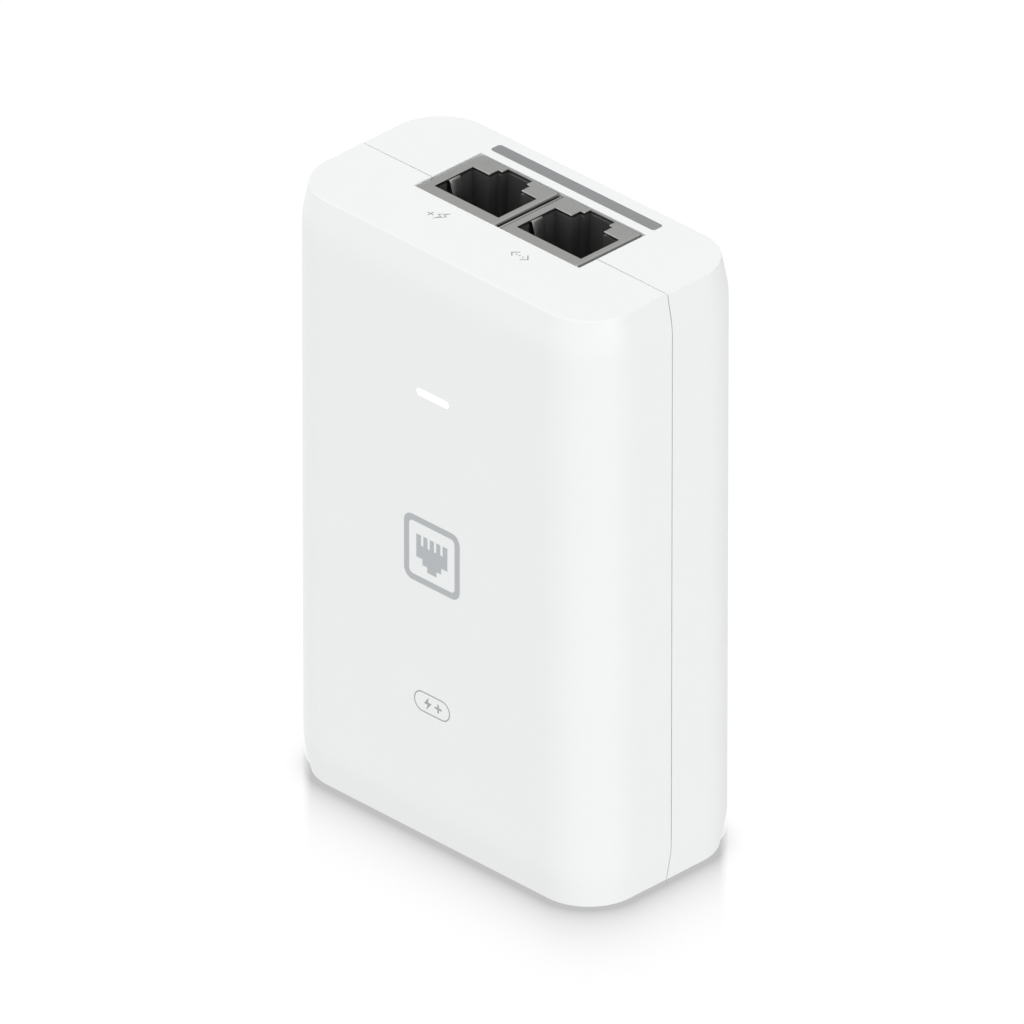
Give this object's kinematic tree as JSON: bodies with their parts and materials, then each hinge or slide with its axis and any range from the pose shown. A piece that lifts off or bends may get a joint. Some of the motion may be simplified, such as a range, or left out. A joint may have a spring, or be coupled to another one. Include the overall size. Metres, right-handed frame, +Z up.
{
  "type": "poe injector",
  "caption": "Upright mains-powered PoE injector: white two-part case, shielded RJ45 data and power ports in the top, a status light in front and a mains inlet below.",
  "frame": {"origin": "middle of the flat base, at the level of the surface it stands on", "axes": "+X to the right seen from the front, -Y out of the front face with the status light, +Z up, out of the ports"},
  "size_m": [0.0586, 0.0308, 0.0892],
  "materials": {
    "case_plastic": "fine satin white moulded plastic",
    "port_steel": "thin stamped nickel-plated steel, satin",
    "black_plastic": "black moulded plastic",
    "contact_gold": "gold-plated spring wire",
    "spring_steel": "thin spring sheet",
    "light_pipe": "milky clear plastic, lit white",
    "lamp": "light-emitting diode",
    "pin_nickel": "nickel-plated brass",
    "board_green": "glass-fibre board with solder mask",
    "chip_black": "moulded epoxy",
    "can_sleeve": "shrink sleeve on an aluminium can",
    "ferrite": "sintered ferrite",
    "copper_wire": "enamelled copper wire",
    "winding_tape": "polyester tape",
    "coated_blue": "epoxy dip coating",
    "capacitor_yellow": "moulded box",
    "heatsink_aluminium": "sheet aluminium",
    "insulation": "thin polyester sheet"
  },
  "bodies": {
    "casing": {"front_shell": "case_plastic", "rear_shell": "case_plastic", "status_light_pipe": "light_pipe", "status_led": "lamp", "port_left_shield": "port_steel", "port_left_housing": "black_plastic", "port_left_contact_block": "black_plastic", "port_right_shield": "port_steel", "port_right_housing": "black_plastic", "port_right_contact_block": "black_plastic", "inlet_housing": "black_plastic", "inlet_pin_line": "pin_nickel", "inlet_pin_neutral": "pin_nickel", "inlet_pin_earth": "pin_nickel", "main_board": "board_green", "fuse": "coated_blue", "varistor": "coated_blue", "y_capacitor": "coated_blue", "x_capacitor": "capacitor_yellow", "choke_core": "ferrite", "choke_winding_line": "copper_wire", "choke_winding_neutral": "copper_wire", "bridge_rectifier": "chip_black", "switch_transistor": "chip_black", "optocoupler": "chip_black", "output_rectifier": "chip_black", "lan_magnetics_left": "chip_black", "lan_magnetics_right": "chip_black", "poe_controller": "chip_black", "pwm_controller": "chip_black", "bulk_capacitor": "can_sleeve", "output_capacitor_left": "can_sleeve", "output_capacitor_right": "can_sleeve", "primary_heatsink": "heatsink_aluminium", "transformer_core_left": "ferrite", "transformer_core_right": "ferrite", "output_choke": "ferrite", "transformer_winding": "winding_tape", "insulation_sheet": "insulation"},
    "left_contacts": {"port_left_contact_1": "contact_gold", "port_left_contact_2": "contact_gold", "port_left_contact_3": "contact_gold", "port_left_contact_4": "contact_gold", "port_left_contact_5": "contact_gold", "port_left_contact_6": "contact_gold", "port_left_contact_7": "contact_gold", "port_left_contact_8": "contact_gold"},
    "left_inner_spring": {"port_left_ground_spring_inner": "spring_steel"},
    "left_outer_spring": {"port_left_ground_spring_outer": "spring_steel"},
    "right_contacts": {"port_right_contact_1": "contact_gold", "port_right_contact_2": "contact_gold", "port_right_contact_3": "contact_gold", "port_right_contact_4": "contact_gold", "port_right_contact_5": "contact_gold", "port_right_contact_6": "contact_gold", "port_right_contact_7": "contact_gold", "port_right_contact_8": "contact_gold"},
    "right_inner_spring": {"port_right_ground_spring_inner": "spring_steel"},
    "right_outer_spring": {"port_right_ground_spring_outer": "spring_steel"}
  },
  "joints": [
    {"name": "left_contacts_press", "type": "hinge", "parent": "casing", "child": "left_contacts", "pos_m": [-0.00767, -0.0018, 0.08485], "axis": [-1, 0, 0], "range_deg": [0, 10], "stiffness_Nm_per_rad": 0.23},
    {"name": "left_inner_spring_press", "type": "hinge", "parent": "casing", "child": "left_inner_spring", "pos_m": [-0.00127, 0.00226, 0.0881], "axis": [0, -1, 0], "range_deg": [0, 15], "stiffness_Nm_per_rad": 0.02},
    {"name": "left_outer_spring_press", "type": "hinge", "parent": "casing", "child": "left_outer_spring", "pos_m": [-0.01407, 0.00226, 0.0881], "axis": [0, 1, 0], "range_deg": [0, 15], "stiffness_Nm_per_rad": 0.02},
    {"name": "right_contacts_press", "type": "hinge", "parent": "casing", "child": "right_contacts", "pos_m": [0.00767, -0.0018, 0.08485], "axis": [-1, 0, 0], "range_deg": [0, 10], "stiffness_Nm_per_rad": 0.23},
    {"name": "right_inner_spring_press", "type": "hinge", "parent": "casing", "child": "right_inner_spring", "pos_m": [0.00127, 0.00226, 0.0881], "axis": [0, 1, 0], "range_deg": [0, 15], "stiffness_Nm_per_rad": 0.02},
    {"name": "right_outer_spring_press", "type": "hinge", "parent": "casing", "child": "right_outer_spring", "pos_m": [0.01407, 0.00226, 0.0881], "axis": [0, -1, 0], "range_deg": [0, 15], "stiffness_Nm_per_rad": 0.02}
  ]
}
